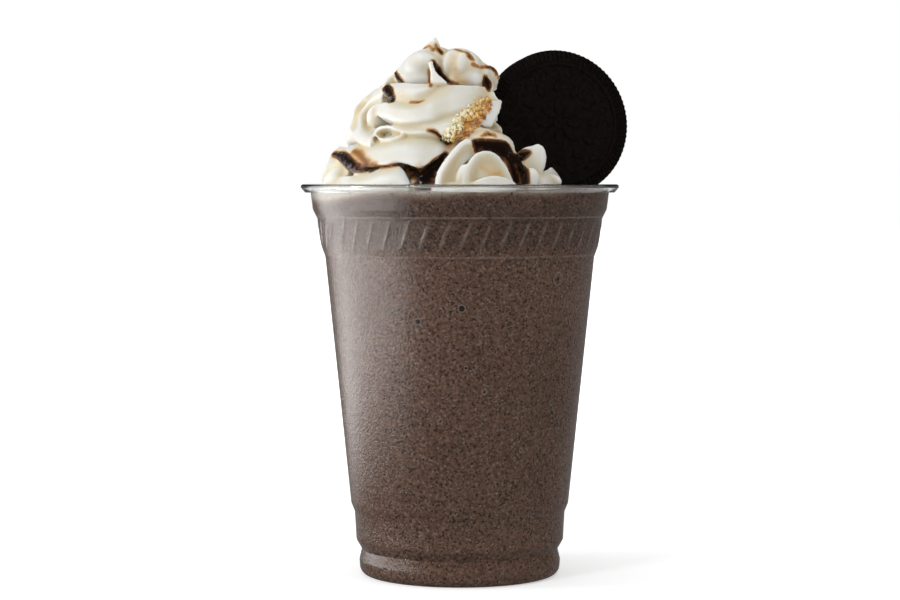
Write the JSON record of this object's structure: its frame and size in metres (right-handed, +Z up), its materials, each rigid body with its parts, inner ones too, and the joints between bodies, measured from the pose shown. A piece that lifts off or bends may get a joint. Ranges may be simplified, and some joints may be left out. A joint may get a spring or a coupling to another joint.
{
  "type": "milkshake",
  "caption": "Cookies-and-cream milkshake in a clear tapered cup with a fluted band, topped with a piped whipped cream swirl and an embossed sandwich cookie.",
  "frame": {"origin": "Centre of the cup's foot, on the plane that the cup stands on.", "axes": "+Z up along the cup's axis to the tip of the cream, -Y to the front, which shows the cream with the cookie's face behind it, +X to the side where the cookie stands."},
  "size_m": [0.101, 0.0974, 0.165],
  "materials": {
    "clear_cup": "clear glossy thermoformed sheet",
    "shake": "thick blended drink, grey-brown with dark and pale specks, smooth against the cup",
    "cream": "soft piped cream, off-white",
    "wafer": "baked cocoa biscuit, nearly black, finely grained",
    "filling": "white sugar filling",
    "sauce": "glossy chocolate sauce",
    "crumbs": "golden-brown biscuit crumbs"
  },
  "bodies": {
    "root": {"cup": "clear_cup", "milkshake": "shake", "whipped_cream": "cream", "cookie_front": "wafer", "cookie_filling": "filling", "cookie_back": "wafer"}
  },
  "joints": []
}
